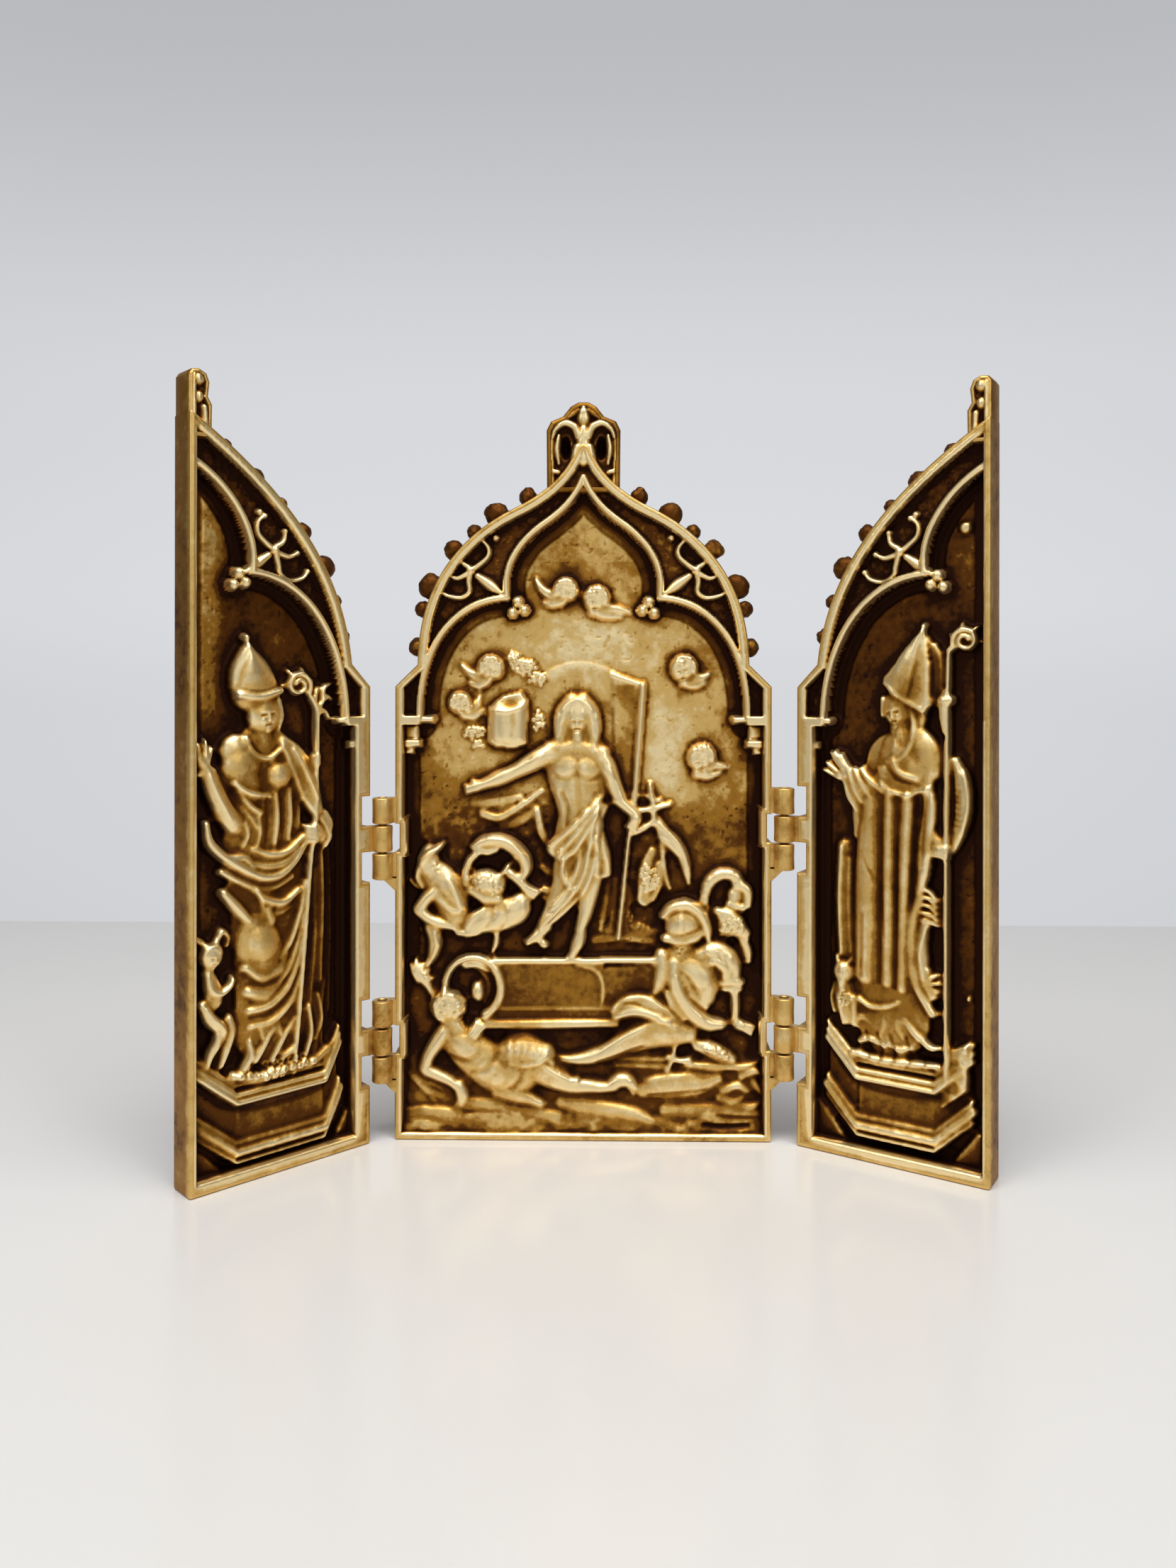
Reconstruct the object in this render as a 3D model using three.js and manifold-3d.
// Triptych altarpiece in cast brass: a centre panel and two hinged wings, with figures in relief.
//
// Millimetres, +Z up. Each panel is drawn standing and seen from the front: u runs right from the
// panel's left-hand edge, z runs up, and depth runs back from the rims, which lie at depth 0, to
// the plain back at THICKNESS. The origin is the middle of the centre panel's underside.

import * as THREE from 'three';
import { mergeVertices } from 'three/addons/utils/BufferGeometryUtils.js';
import Module from 'manifold-3d';

// ---- Driving dimensions ----

const CENTER_WIDTH = 76;
const WING_WIDTH = 37.8;
const THICKNESS = 7;
const FLOOR = 4.6; // depth of the picture floors
const POCKET = 2.4; // depth of the spandrel floors
const SIDE_RIM = 1.4; // width of the plain rims
const HINGE_RIM = 3.2; // width of a wing's rim beside its hinges
const RIM_HALF = 1; // half width of the arch bands
const TRACERY_HALF = 0.6; // half width of the cusped inner mouldings
const SHOULDER_Z = 91.6; // where the straight sides end
const TIP_Z = 149.3; // top of the finials
const SPRING_Z = 86; // where the arches spring from the capitals

const HINGE_OUT = 2.4; // from a panel's edge to the hinge axis
const HINGE_FORWARD = 0.4; // the axis stands this far in front of the rims
const KNUCKLE_RADIUS = 2.05;
const KNUCKLE_LENGTH = 5.2;
const KNUCKLE_GAP = 0.4;
const BORE_RADIUS = 0.95;
const PIN_RADIUS = 0.7;
const WING_NOTCH = 1.9; // cut in a wing's edge around the centre panel's knuckles
const CENTER_NOTCH = 0.9; // cut in the centre panel's edge behind a wing's knuckle
const LEFT_HINGE_Z = [61, 20.2];
const RIGHT_HINGE_Z = [63.2, 21.2];
const LEFT_OPEN_DEG = 44; // how far each wing is folded forward from flat
const RIGHT_OPEN_DEG = 32;

const BURIED = 0.5; // how far relief is rooted below the floor it stands on

// ---- Solids ----

const wasm = await Module();
wasm.setup();

function toSolid(geometry) {
  geometry.deleteAttribute('normal');
  geometry.deleteAttribute('uv');
  const merged = mergeVertices(geometry);
  const vertProperties = Float32Array.from(merged.attributes.position.array);
  const triVerts = Uint32Array.from(merged.index.array);
  return new wasm.Manifold(new wasm.Mesh({ numProp: 3, vertProperties, triVerts }));
}

function toGeometry(solid) {
  const mesh = solid.getMesh();
  const geometry = new THREE.BufferGeometry();
  geometry.setAttribute('position', new THREE.BufferAttribute(mesh.vertProperties, 3));
  geometry.setIndex(new THREE.BufferAttribute(mesh.triVerts, 1));
  geometry.computeVertexNormals();
  return geometry;
}

function join(solids) {
  return solids.reduce((whole, piece) => whole.add(piece));
}

// A flat plate with the outline [x, z], from one depth to another.
function plate(outline, front, back) {
  const shape = new THREE.Shape(outline.map(([x, z]) => new THREE.Vector2(x, z)));
  const geometry = new THREE.ExtrudeGeometry(shape, { depth: back - front, bevelEnabled: false });
  geometry.rotateX(Math.PI / 2);
  geometry.translate(0, back, 0);
  return toSolid(geometry);
}

function block(x0, x1, front, back, z0, z1) {
  const geometry = new THREE.BoxGeometry(x1 - x0, back - front, z1 - z0);
  geometry.translate((x0 + x1) / 2, (front + back) / 2, (z0 + z1) / 2);
  return toSolid(geometry);
}

function upright(radius, x, depth, z0, z1, sides) {
  const geometry = new THREE.CylinderGeometry(radius, radius, z1 - z0, sides);
  geometry.rotateX(Math.PI / 2);
  geometry.translate(x, depth, (z0 + z1) / 2);
  return geometry;
}

function bead(x, depth, z, radius, deep, tall = radius) {
  const geometry = new THREE.IcosahedronGeometry(1);
  geometry.scale(radius, deep, tall);
  geometry.translate(x, depth, z);
  return toSolid(geometry);
}

// A closed skin over rings of points [x, depth, z], all with the same number of points.
function loft(rings) {
  const count = rings[0].length;
  const points = rings.flat();
  const faces = [];
  for (let ring = 0; ring < rings.length - 1; ring += 1) {
    for (let k = 0; k < count; k += 1) {
      const a = ring * count + k;
      const b = ring * count + ((k + 1) % count);
      faces.push([a, b, b + count], [a, b + count, a + count]);
    }
  }
  const last = (rings.length - 1) * count;
  for (let k = 1; k < count - 1; k += 1) {
    faces.push([0, k + 1, k], [last, last + k, last + k + 1]);
  }
  const turned = signedVolume(points, faces) < 0;
  const index = faces.flatMap(([a, b, c]) => (turned ? [a, c, b] : [a, b, c]));
  const geometry = new THREE.BufferGeometry();
  geometry.setAttribute('position', new THREE.Float32BufferAttribute(points.flat(), 3));
  geometry.setIndex(index);
  return toSolid(geometry);
}

function signedVolume(points, faces) {
  return faces.reduce((sum, face) => {
    const [a, b, c] = face.map((corner) => new THREE.Vector3(...points[corner]));
    return sum + a.dot(b.cross(c)) / 6;
  }, 0);
}

// Unit vectors along and across a line of points [x, z, ...] at its point k.
function directions(line, k) {
  const before = line[Math.max(k - 1, 0)];
  const after = line[Math.min(k + 1, line.length - 1)];
  const along = new THREE.Vector2(after[0] - before[0], after[1] - before[1]);
  if (along.length() === 0) {
    along.set(0, -1);
  }
  along.normalize();
  return { along, across: new THREE.Vector2(-along.y, along.x) };
}

// The line moved sideways, to its left where distance is positive.
function shifted(line, distance) {
  return line.map(([x, z], k) => {
    const { across } = directions(line, k);
    return [x + across.x * distance, z + across.y * distance];
  });
}

const THIN = 1.25; // a limb narrower than this, to each side, is a plain sharp ridge
const SHARP = [[-1, -BURIED, 0], [0, 0, 1], [1, -BURIED, 0]];
const ROUND = [[-1, -BURIED, 0], [-0.5, 0, 0.95], [0.5, 0, 0.95], [1, -BURIED, 0]];
const END_REACH = 0.6; // how far a rounded end runs on, in half widths
const END_SIZE = 0.55; // its width and height against the limb's own

// A limb in relief: a ridge through points [u, z, half width, height above the floor]. Its ends
// are blunt where it is thin or has more than two points, and rounded off elsewhere.
function limb(points, offset, floor) {
  const thin = points.every(([, , half]) => half < THIN);
  const section = thin ? SHARP : ROUND;
  const ring = ([u, z, half, height], across) => section.map(([side, low, high]) => [
    u + offset + across.x * side * half,
    floor - low - height * high,
    z + across.y * side * half,
  ]);
  const rings = points.map((point, k) => ring(point, directions(points, k).across));
  if (points.length > (thin ? 1 : 2)) {
    return loft(rings);
  }
  const end = (k, sign) => {
    const [u, z, half, height] = points[k];
    const { along, across } = directions(points, k);
    const reach = sign * half * END_REACH;
    const tip = [u + along.x * reach, z + along.y * reach, half * END_SIZE, height * END_SIZE];
    return ring(tip, across);
  };
  return loft([end(0, -1), ...rings, end(points.length - 1, 1)]);
}

function curve(start, pull0, pull1, finish, steps) {
  const vectors = [start, pull0, pull1, finish].map(([x, z]) => new THREE.Vector2(x, z));
  return new THREE.CubicBezierCurve(...vectors).getPoints(steps).map(({ x, y }) => [x, y]);
}

// Points on a circle from one angle to another, in degrees.
function arc(x, z, radius, from, to, steps) {
  return Array.from({ length: steps + 1 }, (_, k) => {
    const angle = THREE.MathUtils.degToRad(from + ((to - from) * k) / steps);
    return [x + radius * Math.cos(angle), z + radius * Math.sin(angle)];
  });
}

function hoop(u, z, radius, from, to, steps, half, height) {
  return arc(u, z, radius, from, to, steps).map(([x, y]) => [x, y, half, height]);
}

// A line or outline from right to left, whose right half runs up to its top point, on x = 0.
function both(rightHalf) {
  const leftHalf = rightHalf.slice(0, -1).map(([x, z]) => [-x, z]);
  return [...rightHalf, ...leftHalf.reverse()];
}

// The right half of an arch moved outward, with its top point kept on x = 0.
function widened(rightHalf, distance) {
  const [, topZ] = rightHalf[rightHalf.length - 1];
  return [...shifted(rightHalf, -distance).slice(0, -1), [0, topZ + 2 * distance]];
}

// ---- Relief of the centre panel ----

const TOMB = [
  [[19.5, 25.5, 0.7, 2.4], [44.5, 25.6, 0.7, 2.2]],
  [[18.8, 22.8, 1.1, 2.8], [44.6, 23, 1, 2.6]],
  [[20.3, 35.3, 0.8, 2.7], [52.6, 35.4, 0.8, 2.5]],
];

const RISEN_CHRIST = [
  // head with long hair
  [[36.8, 86.2, 3.2, 2.9], [36.9, 82.4, 2.5, 3.2]],
  [[34.2, 86.4, 1.2, 2.4], [34.2, 80.4, 1, 2]],
  [[39.5, 86.4, 1.2, 2.4], [39.4, 80.4, 1, 2]],
  // neck and torso
  [[36.6, 81, 1.8, 2.6], [36.3, 77.2, 5.4, 3], [36.3, 69, 4.4, 3.4], [36.5, 59, 4.4, 2.9]],
  // outstretched arm, and the arm with the staff
  [[32, 78.2, 1.8, 2.9], [24.3, 73.2, 1.3, 2.9], [14.4, 70.3, 0.9, 2]],
  [[41.4, 77.2, 1.7, 2.9], [45.3, 67.6, 1.2, 3], [48.4, 64.4, 1, 2.8]],
  // loincloth folds and hanging cloth
  [[42, 68.8, 1.1, 3.9], [31.8, 59.8, 1.2, 3.1]],
  [[39.9, 64, 1.1, 3.9], [38.8, 56.5, 1.2, 3.7], [29.6, 42.4, 1, 2.6]],
  [[41.5, 60.5, 1.4, 3.4], [42.1, 52.6, 1.6, 2.6]],
  // legs and feet
  [[38.2, 52, 1.9, 3.2], [36.2, 41, 1.3, 2.9], [35.5, 37.2, 1.1, 3]],
  [[35.4, 56, 2.4, 2.8], [30.6, 43, 1.3, 2.5], [26.8, 39.8, 0.9, 2.6]],
];

const BANNER = [
  // staff, cross and the fluttering banner
  [[47.3, 62.5, 0.45, 2.3], [45, 40.5, 0.45, 2.1]],
  [[52, 70.8, 0.45, 2.1], [52.4, 63.6, 0.45, 2.3]],
  [[49.5, 66.5, 0.45, 2.2], [55.4, 67, 0.45, 2.1]],
  [[52.4, 64, 0.45, 2.2], [48.2, 62.2, 0.45, 2.3]],
  [[53, 64.4, 0.8, 1.8], [57.3, 60.8, 1.1, 2.1], [59, 56, 0.9, 1.8], [59.4, 51.8, 0.6, 1.4]],
  [[54.2, 62, 0.6, 1.6], [54.6, 57, 0.6, 1.5], [55.4, 50.8, 0.5, 1.2]],
];

const CHERUBS = [
  [[34.4, 111.7, 3.1, 2.7]],
  [[40.7, 110, 2.9, 2.5]],
  [[28.2, 112.1, 0.5, 1.2], [33.6, 106.8, 0.6, 1.5]],
  [[38.4, 106.2, 0.9, 1.3], [46.4, 106, 0.8, 1]],
  [[18.9, 94, 2.9, 2.5]],
  [[13.2, 93.6, 0.6, 1.4], [16.6, 91.2, 0.6, 1.6]],
  [[22.4, 94.6, 1.2, 1.1], [26.6, 92.4, 1, 0.9]],
  [[13.2, 87.4, 2.5, 2.1]],
  [[15.9, 88, 0.6, 1.5], [14.4, 84.2, 0.6, 1.2]],
  [[58.6, 95.8, 2.9, 2.4]],
  [[59.4, 93.4, 0.6, 1.8], [63.8, 94, 0.5, 1.2]],
  [[62.2, 77.8, 3, 2.5]],
  [[61.4, 75, 0.7, 1.6], [64.8, 76.4, 0.7, 1.8], [68.4, 74.8, 0.5, 1.2]],
];

const DRUM_AND_LID = [
  // the broken drum, and the lifted lid of the tomb with its raised edge
  [[22.3, 79.2, 3.9, 2], [22.4, 86, 3.8, 2.2]],
  [[50.4, 91.4, 0.5, 1.9], [48.2, 68, 0.5, 2]],
];

const CROUCHING_GUARDS = [
  // the outer guard, shrinking back
  [[7.2, 57.2, 2, 2.6], [8.2, 54.4, 2, 2.9]],
  [[8.6, 53, 2.2, 2.7], [10.6, 49.6, 2.4, 2.9], [12, 46.4, 1.8, 2.5]],
  [[9.6, 49.8, 1.1, 3], [4.9, 46.6, 1, 3], [11, 42.6, 0.9, 2.7]],
  [[7.2, 41.4, 0.9, 1.9], [6.4, 35, 0.6, 1.3]],
  [[3, 34.6, 0.8, 1.6], [5.6, 32.4, 0.9, 1.8]],
  // the inner guard, shielding the head with one arm
  [[18.4, 52, 3.1, 3.1], [20.4, 50.4, 2.4, 3.3]],
  [[14.6, 52.5, 0.9, 2.3], [17.4, 59.2, 1.1, 2.7], [22.6, 59.2, 1.1, 2.9], [25.8, 53.4, 1, 2.7]],
  [[23.2, 51.2, 0.8, 2.9], [27.4, 49.2, 0.7, 2.3]],
  [[14, 42.2, 1.4, 2.5], [19.6, 44, 2.6, 3], [24.6, 45.6, 2, 2.9]],
];

const RIGHT_GUARDS = [
  // helmet with its crest, and the face below it
  [[57.8, 44.2, 3.2, 3.4]],
  [[54.4, 46.4, 0.8, 3], [58, 49, 0.8, 3.2], [61.8, 46.2, 0.8, 3.2], [63, 42.2, 0.7, 2.8]],
  [[57.4, 40.4, 1.9, 2.6]],
  // the plumed guard behind
  [[63, 47.6, 0.9, 1.8], [65, 53.8, 1, 2], [70, 53.2, 1, 2], [70.4, 47.2, 0.8, 1.6]],
  [[68, 49.8, 1.5, 1.5]],
  [[65.8, 45.4, 1.4, 2.3], [70.4, 42.2, 1.6, 2.5]],
  // figure and drapery behind the banner
  [[50.6, 56.5, 1.5, 1.4], [51.6, 51.5, 2.1, 2], [50.6, 47.4, 1.7, 1.6]],
  [[47.9, 46, 0.9, 1.1], [48.8, 42, 1.6, 1.3]],
  // back, chest and arms of the leaning guard
  [[58.8, 36.9, 1.8, 3], [63, 36, 3.1, 3.7], [67.6, 36, 2.6, 3.5]],
  [[62.2, 34, 2.7, 3.5], [62.9, 30.6, 1.6, 2.7]],
  [[55.8, 36.6, 1.2, 3.1], [57, 30.4, 1.2, 3.4], [64.4, 24.2, 1.2, 3.3], [71, 23.2, 0.9, 2.3]],
  [[68.9, 34, 1.1, 3.1], [69.1, 25.2, 0.8, 2.3]],
  // skirt, leg and foot
  [[45.4, 26.4, 1.7, 2.8], [49, 27.4, 2.4, 3.3], [53.2, 24.8, 2.3, 3.3]],
  [[56, 22.6, 2.4, 3.3], [48, 20.4, 1.9, 3.3], [40.4, 17.2, 1.2, 2.7], [35.4, 16.7, 0.8, 2.3]],
  [[61.8, 17.3, 1.3, 2.7], [67.6, 17.2, 1.3, 2.7]],
];

const RECLINING_GUARD = [
  // head, trunk and hips
  [[11.2, 26.6, 2.9, 3.6], [12, 25, 2.5, 3.8]],
  [[8.8, 19.2, 2.6, 3.3], [13.6, 17.4, 4.2, 3.7], [23, 13.4, 5, 3.8], [27, 14.6, 3.4, 3.6]],
  [[21.4, 18, 2, 3.5], [29.4, 17.2, 1.8, 3.3]],
  // legs and foot
  [[26.5, 14.2, 2.4, 3.7], [31.5, 12.8, 2.1, 3.7], [42, 10.7, 1.5, 3.4], [47.4, 10.6, 1.4, 3.2]],
  [[20.5, 8.4, 1.8, 3.5], [28.4, 6.9, 1, 2.9]],
  // arm, and the sleeve under it
  [[8, 20.4, 1.2, 3.1], [5.9, 14.8, 1.1, 3.1], [12.2, 11.2, 1, 3], [12.8, 7.4, 1.2, 3]],
  [[2.3, 12.4, 0.8, 2.3], [8.2, 7.4, 0.9, 2.5]],
];

const ARMS_ON_THE_GROUND = [
  // sword, shafts and the dropped cloak
  [[55.4, 15.2, 0.6, 2.7], [59.6, 14.8, 0.7, 2.8]],
  [[57, 18.4, 0.5, 2.9], [56.6, 13.6, 0.5, 2.7]],
  [[59.8, 14.2, 0.7, 2.7], [68, 14, 0.6, 2.5], [74, 15.2, 0.4, 2.1]],
  [[46, 14.4, 0.45, 2.1], [55, 14.4, 0.45, 2.1]],
  [[49.6, 9.6, 1.6, 2.9], [55, 10, 2, 3.3], [65, 9.6, 1.3, 2.9]],
  [[67.4, 9.6, 0.9, 2.6], [70.8, 7.8, 1.2, 2.4]],
];

// ---- Relief of the left wing: a bishop seen from the front, with a praying child ----

const LEFT_BISHOP = [
  // mitre, head, collar and clasp
  [[12.3, 99.4, 0.5, 2.5], [12.8, 96, 2.6, 3.3], [13.7, 91.4, 4.7, 3.9]],
  [[11.8, 101.1, 0.8, 2.4]],
  [[15.6, 88, 3.2, 3.3], [16, 85, 3, 3.7], [16.5, 82.4, 2.2, 3.3]],
  [[12.4, 81.4, 1.2, 2.9], [16.4, 78.6, 1.2, 3.3], [20.2, 81, 1.1, 2.9]],
  [[18.5, 74.5, 2.5, 3.9]],
  // shoulders and chest
  [[11.6, 80.6, 2, 2.7], [9.6, 77.4, 3, 3.1], [10.2, 72, 3.2, 3.3]],
  [[20, 80.8, 1.6, 2.9], [22.5, 76, 2.4, 3.3], [25, 70.4, 2, 3.1]],
  [[15.6, 77, 5, 3], [17, 62, 6.4, 3]],
  // blessing arm and hand, hand on the crozier
  [[5.4, 75, 1.7, 3.3], [7.2, 70.5, 2.1, 3.5], [8.8, 66, 2, 3.3]],
  [[3.6, 78.6, 1.5, 3], [5, 75.8, 1.3, 3.1]],
  [[3.8, 82, 0.7, 3], [4.6, 78.8, 0.8, 3.1]],
  [[24.6, 63.8, 1.5, 3.7], [26.6, 62.4, 1.8, 3.8]],
  // garlands of cloth across the body
  [[4.4, 62.4, 0.8, 2.7], [10, 59.2, 1, 3.3], [13.4, 56.5, 1.1, 3.8], [17.8, 56.3, 1.1, 3.9],
    [23.8, 62.2, 0.9, 3.7]],
  // robe and its falling folds
  [[16.5, 60, 6.8, 2.8], [16.5, 44, 6.2, 3.1], [17.2, 28, 6.6, 2.8], [17.2, 22.6, 6.8, 2.5]],
  [[7, 54, 1.2, 2.9], [14, 47, 1.2, 3.8]],
  [[13.4, 53.2, 0.9, 3.6], [17.8, 50, 1, 3.9], [21.4, 53, 0.9, 3.6]],
  [[22.4, 48.4, 1, 3.5], [18.6, 42.4, 1.1, 3.8], [13, 43.3, 1, 3.4]],
  [[23.4, 44, 0.9, 3.3], [21.4, 36.6, 1.1, 3.7], [12.6, 30.9, 1, 3.4]],
  // the cope behind
  [[28.2, 61, 2.2, 2.4], [28.7, 46, 2.3, 2.2], [28.2, 24, 1.8, 1.7]],
];

const LEFT_CROZIER = [
  [[26.8, 89.6, 0.6, 3.1], [26.3, 65.4, 0.6, 3.5]],
  [[25.5, 60, 0.6, 3.6], [21.8, 18.8, 0.6, 3.5]],
  hoop(23.4, 92.2, 2.9, -30, 250, 8, 0.6, 2.6),
  [[23.4, 92.2, 1.1, 2.4]],
];

const CHILD = [
  [[5.4, 42, 2.1, 2.9]],
  [[5.6, 38.6, 1.8, 2.5], [4.6, 33, 1.7, 2.5]],
  [[4.8, 37.8, 0.9, 3.1], [6.3, 34.3, 1, 3.2], [9.4, 36.2, 0.8, 3]],
  [[3.6, 32.4, 1, 2.9], [7, 28.4, 1.2, 3.1], [5, 25.4, 0.9, 2.8], [5.7, 22.4, 0.8, 2.5]],
  [[9.2, 27.8, 0.9, 2.5], [7.8, 22.6, 1.4, 2.3]],
];

const LEFT_PEDESTAL = { left: 2, frontLeft: 9.8, frontRight: 28.3, right: 32.4, top: 14.6, foot: 4.6 };

const LEFT_GROUND = [
  // feet, hem and the mound they stand on
  [[13.6, 25.4, 0.9, 3.3], [11.6, 21.4, 1.1, 3.3]],
  [[16.6, 26, 0.8, 3.3], [14.4, 21.8, 0.9, 3.3]],
  [[20.4, 25.6, 0.9, 3.4], [17.6, 21, 1, 3.4]],
  [[18.4, 19.6, 1.1, 3.4], [20.4, 18.8, 1, 3.2]],
  [[8.6, 19.4, 1.6, 2.5], [14, 17.8, 2.1, 3], [21, 17.2, 2.2, 3], [28.6, 18.4, 1.8, 2.5]],
];

// ---- Relief of the right wing: a bishop in profile, with a small beast at the feet ----

const RIGHT_BISHOP = [
  // mitre and its lappet, head, beard
  [[24.2, 102.2, 0.5, 2.7], [23.1, 97.6, 2.6, 3.5], [21.6, 92, 4.6, 3.9]],
  [[26.2, 101, 0.9, 2.3], [27.3, 92, 0.9, 2.2]],
  [[19, 88, 2.8, 3.3], [18.7, 84.6, 2.6, 3.5]],
  [[20.6, 83, 2.2, 3.6], [20.4, 78, 1.5, 3.4]],
  // shoulder, sleeves and raised hand
  [[23.6, 82.2, 1.8, 3.1], [24.8, 78.4, 2.8, 3.7], [25, 73.4, 2.8, 3.7]],
  [[15.8, 78.2, 0.9, 2.9], [17.4, 74.8, 1.4, 3.3], [22, 72.8, 2.1, 3.8]],
  [[10.6, 74.2, 1.4, 3.3], [13.8, 73.4, 1.5, 3.4]],
  [[6.3, 77.8, 0.6, 3.1], [8.9, 75, 0.7, 3.2]],
  [[7.9, 74.4, 0.9, 3.2], [11.8, 67.6, 1.1, 3.3]],
  [[11.4, 73.4, 0.8, 3.5], [14.2, 70.4, 0.9, 3.6], [16.8, 71.6, 0.8, 3.6]],
  [[10.4, 68, 1.4, 2.7], [12, 63, 1.3, 2.7]],
  [[28.4, 61, 1.7, 3.9]],
  // fringed edge of the cope
  [[31.4, 77, 1.3, 2.3], [32.2, 70, 1.7, 2.5], [30.8, 63, 1.2, 2.3]],
  // robe and its straight folds
  [[20, 71, 6.4, 3.1], [19.7, 56, 7, 3.1], [19.2, 30.6, 6.6, 2.8]],
  [[18.4, 69, 1, 3.6], [17.9, 31, 1.1, 3.5]],
  [[22, 68, 1, 3.7], [20.9, 31, 1.1, 3.6]],
  [[15.3, 62, 1, 3.5], [15.1, 31.6, 1.1, 3.4]],
  [[25, 70, 1.1, 3.7], [23.2, 44, 1.2, 3.8], [27, 30, 1, 3.2]],
  [[9.6, 60, 1.1, 2.1], [10, 39.6, 1.1, 2.1]],
];

const RIGHT_CROZIER = [
  [[29.6, 100, 0.6, 2.9], [28.7, 81, 0.7, 3.3], [28.4, 62, 0.6, 3.5]],
  [[29, 58.8, 0.55, 3.5], [29.3, 17.6, 0.55, 3.3]],
  [[28.7, 84.4, 1, 3.4]],
  hoop(32.9, 100.6, 2.1, 160, -100, 7, 0.55, 2.6),
  [[33.1, 100.8, 1, 2.6]],
];

const BEAST = [
  [[8.6, 35.6, 1.6, 2.5], [9.4, 32.2, 1.5, 2.7], [9.4, 28.4, 0.9, 2.3]],
  [[9.3, 26.6, 0.8, 2.3], [11.8, 27.2, 0.7, 2.3]],
];

const RIGHT_PEDESTAL = { left: 5.4, frontLeft: 12, frontRight: 27.2, right: 34, top: 15.6, foot: 5.4 };

const RIGHT_GROUND = [
  [[12.6, 22.4, 0.8, 3.1], [14.4, 20.8, 0.9, 3.2], [17.3, 22.2, 0.9, 3.3]],
  [[19.4, 27.4, 0.8, 3.3], [20, 23, 0.9, 3.4], [23, 22.4, 0.9, 3.3]],
  [[22.4, 26, 0.9, 3.3], [26, 21.8, 0.9, 3.3]],
  [[24.8, 25.4, 0.9, 3.1], [28, 21.8, 0.9, 3.1]],
  [[11, 18.6, 1.6, 2.5], [17, 18.4, 1.9, 3], [24, 18.4, 1.9, 3], [31, 20, 1.6, 2.3]],
  [[33, 33.3, 0.8, 1.3]],
  [[32, 121.5, 1.1, 1.3]],
];

// ---- Frames of the panels ----

const OGEE = [
  ...curve([32.5, 96], [32.5, 112], [24, 121.5], [14, 126.5], 6),
  ...curve([14, 126.5], [7, 130], [2.5, 133.5], [0, 140.5], 2).slice(1),
];
const TREFOIL_LOW = curve([33.2, SPRING_Z], [33.2, 100], [26, 109.3], [15.5, 109.6], 5);
const TREFOIL_HIGH = [
  ...curve([15.5, 109.6], [16.4, 116], [13.5, 120.5], [8.5, 124.3], 3),
  ...curve([8.5, 124.3], [4.5, 127], [1.8, 129.5], [0, 134], 2).slice(1),
];
const CUSP = [13.3, 107.5];

// Each crocket: place [x, z] and radius, from the finial down.
const CENTER_CROCKETS = [
  [11.4, 130.4, 2.2], [17.9, 126.9, 2.9], [22.4, 123.2, 1.9], [26.6, 119.6, 2.4],
  [31.4, 112, 3.1], [33, 107.4, 2], [34, 99.6, 2.3],
];
const WING_CROCKETS = [
  [34.2, 140.2, 1.4], [29.7, 136.4, 1.9], [23.4, 131, 2.7], [17.9, 126.8, 1.7],
  [13, 121.8, 2.1], [8.4, 115.2, 2.8], [6, 108.6, 1.8], [4.2, 101.6, 1.9],
];
const CROCKET_DEPTH = 4.6;
const CROCKET_DEEP = 2.3;

function crockets(list, toX) {
  return list.map(([x, z, radius]) => bead(toX(x), CROCKET_DEPTH, z, radius, CROCKET_DEEP));
}

// A capital and its bracket under the spring of an arch, growing inward from edge by side * x.
function capital(edge, side) {
  const steps = [
    [6.2, 0.7, SPRING_Z - 2, SPRING_Z - 0.4],
    [3.2, 1.7, SPRING_Z - 5, SPRING_Z - 2],
    [3.8, 1.1, SPRING_Z - 6.8, SPRING_Z - 5],
    [2.2, 2, SPRING_Z - 8.4, SPRING_Z - 6.8],
  ];
  return join(steps.map(([reach, front, low, high]) => {
    const ends = [edge, edge + side * reach].sort((a, b) => a - b);
    return block(ends[0], ends[1], front, FLOOR + BURIED, low, high);
  }));
}

// Three small balls where a cusp ends.
function cuspKnob([x, z], toX) {
  const places = [[0, 1.3], [-1.3, -0.4], [1.1, -0.9]];
  return join(places.map(([dx, dz]) => bead(toX(x + dx), 3, z + dz, 1.35, 2.4)));
}

// The sprig in a spandrel: a stem and its scrolls, as thin ridges along lines of [x, z].
function sprig(lines, toX) {
  const ridges = lines.map((line) => limb(line.map(([x, z]) => [toX(x), z, 0.6, 1.5]), 0, POCKET));
  return join(ridges);
}

function reliefOf(groups, offset) {
  return groups.flat().map((points) => limb(points, offset, FLOOR));
}

// ---- Hinges ----

// The spans of a hinge's three knuckles, from the top.
function knuckles(middle) {
  const pitch = KNUCKLE_LENGTH + KNUCKLE_GAP;
  return [1, 0, -1].map((step) => {
    const low = middle + step * pitch - KNUCKLE_LENGTH / 2;
    return [low, low + KNUCKLE_LENGTH];
  });
}

// One knuckle on the axis, with the web that ties it to the panel edge on the given side.
function knuckle([low, high], axisX, axisDepth, side) {
  const round = toSolid(upright(KNUCKLE_RADIUS, axisX, axisDepth, low, high, 10));
  const reach = [axisX, axisX + side * (HINGE_OUT + BURIED)].sort((a, b) => a - b);
  const front = axisDepth + HINGE_FORWARD;
  return round.add(block(reach[0], reach[1], front, axisDepth + KNUCKLE_RADIUS, low, high));
}

// A sloping foot under the lowest fixed knuckle.
function gusset(low, axisX, side) {
  const edge = axisX + side * HINGE_OUT;
  const root = edge + side * BURIED;
  const top = low + 0.4;
  const bottom = low - 2.4;
  return plate([[root, top], [root, bottom], [edge, bottom], [axisX - side * 0.6, top]], 0, 1.6);
}

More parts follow.
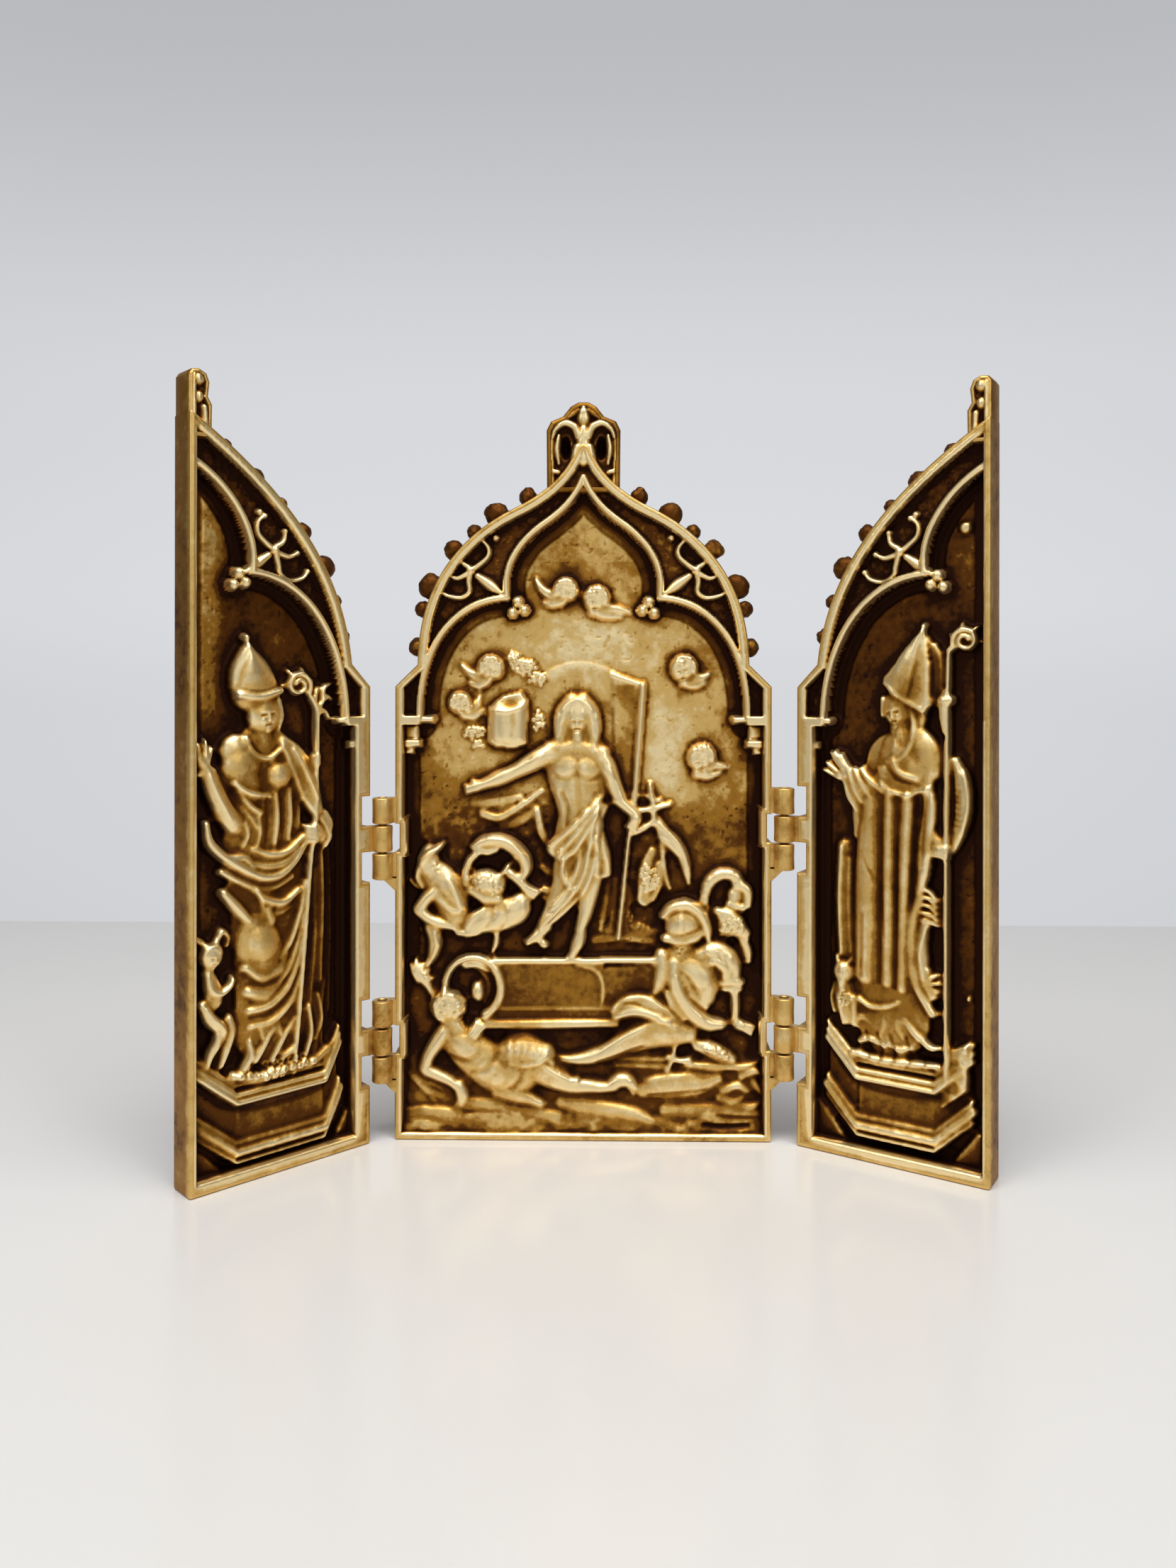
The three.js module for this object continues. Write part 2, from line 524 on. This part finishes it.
function bore(middle, axisX, axisDepth) {
  const reach = KNUCKLE_LENGTH * 2 + KNUCKLE_GAP;
  return toSolid(upright(BORE_RADIUS, axisX, axisDepth, middle - reach, middle + reach, 6));
}

// ---- Centre panel ----

const CENTER_HALF = CENTER_WIDTH / 2;
const FINIAL = [
  [7.4, 131], [7.5, 143.6], [6.6, 145.4], [4.2, 146.4], [2.6, 148.4], [1, TIP_Z], [0, TIP_Z],
];
const FINIAL_FACE = 1.2; // depth of the finial's face
const CENTER_SPRIG = [
  [[15.6, 110.4], [19, 113], [23.4, 114.8]],
  arc(20.6, 116.4, 2.2, -60, 150, 4),
  arc(25.4, 112.2, 2, 60, -150, 4),
];

// The rocky ground along the foot of the picture, as sections every few millimetres.
function rockyGround() {
  const first = -CENTER_HALF + 1;
  const steps = 8;
  const rings = Array.from({ length: steps + 1 }, (_, k) => {
    const x = first - (2 * first * k) / steps;
    const swell = 0.7 * Math.sin(x * 0.31) + 0.4 * Math.sin(x * 0.83 + 1);
    return [
      [x, FLOOR + BURIED, 0.2], [x, 0.5, 0.2], [x, 0.7, 3.4 + swell * 0.6],
      [x, 1.9, 4.8 + swell], [x, 3.4, 6 + swell], [x, FLOOR + BURIED, 6.4 + swell],
    ];
  });
  return loft(rings);
}

function centerFinial() {
  const body = plate(both(FINIAL), FINIAL_FACE, THICKNESS - 0.4);
  const curl = (side) => {
    const line = [[0.6, 140.6], [1.8, 143.6], [5, 143.8], [6.4, 140.6], [5.2, 137.8]];
    return limb(line.map(([x, z]) => [side * x, z, 0.8, 1]), 0, FINIAL_FACE);
  };
  const hollow = (side) => bead(side * 3.9, 1.2, 140.4, 1.5, 1.8, 2.3);
  const stem = limb([[0, 138, 1.3, 1.1], [0, 144.6, 1.3, 1.1]], 0, FINIAL_FACE);
  const knob = bead(0, 3, 147.2, 1.6, 2.2);
  return body.subtract(hollow(1)).subtract(hollow(-1)).add(join([curl(1), curl(-1), stem, knob]));
}

// The plate with its arch band and cusped moulding left standing between the sunk spandrels and
// the sunk picture, and the capitals, crockets and finial added.
function centerFrame() {
  const inner = CENTER_HALF - SIDE_RIM;
  const rim = [[CENTER_HALF - RIM_HALF, SPRING_Z], [CENTER_HALF - RIM_HALF, SHOULDER_Z - 0.5], ...OGEE];
  const foil = [...TREFOIL_LOW, ...TREFOIL_HIGH.slice(1)];
  const outline = both([[CENTER_HALF, 0], [CENTER_HALF, SHOULDER_Z], ...widened(OGEE, RIM_HALF)]);
  const spandrels = plate(both(widened(rim, -RIM_HALF)), -1, POCKET)
    .subtract(plate(both(widened(foil, TRACERY_HALF)), -2, THICKNESS));
  const picture = both([
    [inner, 1], [inner, SPRING_Z - 2], [foil[0][0], SPRING_Z - 2], ...widened(foil, -TRACERY_HALF),
  ]);
  const sides = [1, -1].flatMap((side) => {
    const toX = (x) => side * x;
    return [
      capital(toX(inner + BURIED), -side),
      cuspKnob(CUSP, toX),
      sprig(CENTER_SPRIG, toX),
      ...crockets(CENTER_CROCKETS, toX),
    ];
  });
  return plate(outline, 0, THICKNESS)
    .subtract(spandrels)
    .subtract(plate(picture, -1, FLOOR))
    .add(join([...sides, centerFinial(), rockyGround()]));
}

// The flat-faced things in the picture: tomb, its leaning lid, and the round shield.
function centerBlocks() {
  const toX = ([u, z]) => [u - CENTER_HALF, z];
  const flat = (corners, height) => plate(corners.map(toX), FLOOR - height, FLOOR + BURIED);
  return [
    flat([[20.5, 24], [42, 24], [42, 35], [20.5, 35]], 2.1),
    flat([[41.8, 24], [52.5, 26], [52.5, 35], [41.8, 35]], 1.6),
    flat([[17, 15], [50, 15], [50, 22.4], [17, 22.4]], 1.2),
    flat([[44.4, 93.2], [50.6, 91.6], [48.2, 66.5], [45.6, 66.5]], 1.3),
    flat(arc(15.4, 30.4, 5.8, 0, 324, 9), 1),
    limb(hoop(15.4, 30.4, 5.7, -55, 205, 8, 0.75, 2.7), -CENTER_HALF, FLOOR),
    limb([[16.2, 29.8, 1.4, 2.6]], -CENTER_HALF, FLOOR),
  ];
}

const CENTER_RELIEF = [
  TOMB, RISEN_CHRIST, BANNER, CHERUBS, DRUM_AND_LID, CROUCHING_GUARDS, RIGHT_GUARDS, RECLINING_GUARD,
  ARMS_ON_THE_GROUND,
];

const AXIS_X = CENTER_HALF + HINGE_OUT;
const HINGES = [...LEFT_HINGE_Z.map((z) => [-1, z]), ...RIGHT_HINGE_Z.map((z) => [1, z])];

// The upper and lower knuckles of a hinge, fixed to the centre panel.
function fixedKnuckles([side, middle]) {
  const [top, , bottom] = knuckles(middle);
  const ears = [top, bottom].map((span) => knuckle(span, side * AXIS_X, -HINGE_FORWARD, -side));
  return join([...ears, gusset(bottom[0], side * AXIS_X, -side)]);
}

// What a hinge cuts from the centre panel: room behind the wing's knuckle, and the pin's bore.
function fixedCuts([side, middle]) {
  const [, [low, high]] = knuckles(middle);
  const ends = [side * (CENTER_HALF - CENTER_NOTCH), side * (CENTER_HALF + 0.01)].sort((a, b) => a - b);
  const spare = KNUCKLE_GAP / 2;
  const notch = block(ends[0], ends[1], -1, THICKNESS + 1, low - spare, high + spare);
  return [notch, bore(middle, side * AXIS_X, -HINGE_FORWARD)];
}

function centerPanel() {
  const relief = reliefOf(CENTER_RELIEF, -CENTER_HALF);
  const whole = join([centerFrame(), ...centerBlocks(), ...relief, ...HINGES.map(fixedKnuckles)]);
  return HINGES.flatMap(fixedCuts).reduce((solid, cut) => solid.subtract(cut), whole);
}

// ---- Wings ----
//
// A wing is drawn with its hinge axis at x = 0, HINGE_FORWARD in front of its rims, and w measured
// out from its hinged edge. side is 1 for the right wing and -1 for the left.

const WING_ARCH = curve([5.2, 96], [7, 113], [17, 127], [WING_WIDTH, 140.5], 7);
const WING_FOIL_LOW = curve([5.2, SPRING_Z], [5.6, 100], [13, 112.5], [25.3, 113.3], 5);
const WING_FOIL_HIGH = curve([25.3, 113.3], [24.2, 120.5], [29, 128.5], [36.9, 132.9], 4);
const WING_CUSP = [27.6, 111.6];
const WING_FINIAL = [
  [WING_WIDTH, 137], [WING_WIDTH, 148.2], [37.2, 149.1], [35.8, TIP_Z], [34.4, 148.6], [33.8, 147],
  [34.1, 144.4], [33.3, 143], [33.4, 137],
];
const WING_SPRIG = [
  [[24.6, 114.4], [21.6, 116.4], [18.6, 118.2]],
  arc(19.6, 121.6, 2.4, -110, 110, 4),
  arc(14.4, 116.2, 2.2, 60, -170, 4),
];

function wingFrame(side) {
  const toX = (w) => side * (HINGE_OUT + w);
  const placed = (line) => line.map(([w, z]) => [toX(w), z]);
  const outer = WING_WIDTH - SIDE_RIM;
  const within = (line) => line.filter(([w]) => w < outer - 0.5);
  const rim = [[RIM_HALF, SPRING_Z], [RIM_HALF, SHOULDER_Z - 0.5], ...WING_ARCH];
  const foil = [...WING_FOIL_LOW, ...WING_FOIL_HIGH.slice(1)];
  const shoulder = within(shifted(WING_ARCH, RIM_HALF)).reverse();
  const outline = [[0, 0], [WING_WIDTH, 0], [WING_WIDTH, 141.6], ...shoulder, [0, SHOULDER_Z]];
  const arch = [...within(shifted(rim, -RIM_HALF)), [outer, 138.6], [outer, SPRING_Z]];
  const cusped = [...within(shifted(foil, TRACERY_HALF)), [outer + 1, 134], [outer + 1, SPRING_Z]];
  const spandrels = plate(placed(arch), -1, POCKET).subtract(plate(placed(cusped), -2, THICKNESS));
  const opening = within(shifted(foil, -TRACERY_HALF)).reverse();
  const picture = [
    [HINGE_RIM, 2.2], [outer, 2.2], [outer, 132], ...opening,
    [foil[0][0], SPRING_Z - 2], [HINGE_RIM, SPRING_Z - 2],
  ];
  const pieces = [
    plate(placed(WING_FINIAL), 0.5, THICKNESS - 0.4),
    capital(toX(0.4), side),
    cuspKnob(WING_CUSP, toX),
    sprig(WING_SPRIG, toX),
    ...crockets(WING_CROCKETS, toX),
  ];
  const beyond = [toX(WING_WIDTH), toX(WING_WIDTH + 9)].sort((a, b) => a - b);
  const trim = block(beyond[0], beyond[1], -1, THICKNESS + 1, -1, TIP_Z + 1);
  return plate(placed(outline), 0, THICKNESS)
    .subtract(spandrels)
    .subtract(plate(placed(picture), -1, FLOOR))
    .add(join(pieces))
    .subtract(trim);
}

// A bishop's pedestal: a front face between two sloping ends, with its top and base mouldings.
function pedestal({ left, frontLeft, frontRight, right, top, foot }, offset) {
  const root = FLOOR + BURIED;
  const section = (u, front, low, high) => {
    const corners = [[root, low], [front, low], [front, high], [root, high]];
    return corners.map(([depth, z]) => [u + offset, depth, z]);
  };
  const rise = 6.4;
  const near = 1.3;
  const far = FLOOR - 0.2;
  const body = loft([
    section(left, far, foot + rise, top + rise),
    section(frontLeft, near, foot, top),
    section(frontRight, near, foot, top),
    section(right, far, foot + rise, top + rise + 1),
  ]);
  const moulding = (z, half, height) => limb([
    [left, z + rise, half, 1.2], [frontLeft, z, half, height],
    [frontRight, z, half, height], [right, z + rise, half, 1.2],
  ], offset, FLOOR);
  return [body, moulding(top, 0.7, 4), moulding(foot, 1.2, 3.9)];
}

function wing(side, middles, groups, base) {
  const offset = side > 0 ? HINGE_OUT : -HINGE_OUT - WING_WIDTH;
  const relief = reliefOf(groups, offset);
  const turning = middles.map((middle) => {
    const [, span] = knuckles(middle);
    return knuckle(span, 0, -HINGE_FORWARD, side);
  });
  const whole = join([wingFrame(side), ...relief, ...pedestal(base, offset), ...turning]);
  const cuts = middles.flatMap((middle) => {
    const [top, , bottom] = knuckles(middle);
    const notch = ([low, high]) => {
      const near = side * (HINGE_OUT - 0.01);
      const ends = [near, near + side * WING_NOTCH].sort((a, b) => a - b);
      return block(ends[0], ends[1], -1, THICKNESS + 1, low - KNUCKLE_GAP, high + KNUCKLE_GAP);
    };
    return [notch(top), notch(bottom), bore(middle, 0, -HINGE_FORWARD)];
  });
  return cuts.reduce((solid, cut) => solid.subtract(cut), whole);
}

// ---- Assembly ----

const BRASS = { color: 0xb08d4a, roughness: 0.38, metalness: 1 };
const PIN_BRASS = { color: 0x8c7346, roughness: 0.45, metalness: 1 };

function part(name, geometry, finish) {
  const mesh = new THREE.Mesh(geometry, new THREE.MeshStandardMaterial(finish));
  mesh.name = name;
  return mesh;
}

const triptych = new THREE.Group();
triptych.position.y = -THICKNESS / 2;
triptych.add(part('center_panel', toGeometry(centerPanel()), BRASS));

// A wing turns about its hinge axis: a group stands on the axis and holds the wing.
function addWing(name, side, openDeg, solid) {
  const axis = new THREE.Group();
  axis.position.set(side * AXIS_X, -HINGE_FORWARD, 0);
  axis.rotation.z = -side * THREE.MathUtils.degToRad(openDeg);
  const mesh = part(name, toGeometry(solid), BRASS);
  mesh.position.y = HINGE_FORWARD;
  axis.add(mesh);
  triptych.add(axis);
}

addWing('left_wing', -1, LEFT_OPEN_DEG,
  wing(-1, LEFT_HINGE_Z, [LEFT_BISHOP, LEFT_CROZIER, CHILD, LEFT_GROUND], LEFT_PEDESTAL));
addWing('right_wing', 1, RIGHT_OPEN_DEG,
  wing(1, RIGHT_HINGE_Z, [RIGHT_BISHOP, RIGHT_CROZIER, BEAST, RIGHT_GROUND], RIGHT_PEDESTAL));

const PIN_HALF = KNUCKLE_LENGTH * 1.5 + KNUCKLE_GAP;
const PIN_NAMES = ['left_upper_pin', 'left_lower_pin', 'right_upper_pin', 'right_lower_pin'];
HINGES.forEach(([side, z], k) => {
  const rod = upright(PIN_RADIUS, side * AXIS_X, -HINGE_FORWARD, z - PIN_HALF, z + PIN_HALF, 6);
  triptych.add(part(PIN_NAMES[k], rod, PIN_BRASS));
});

export default triptych;
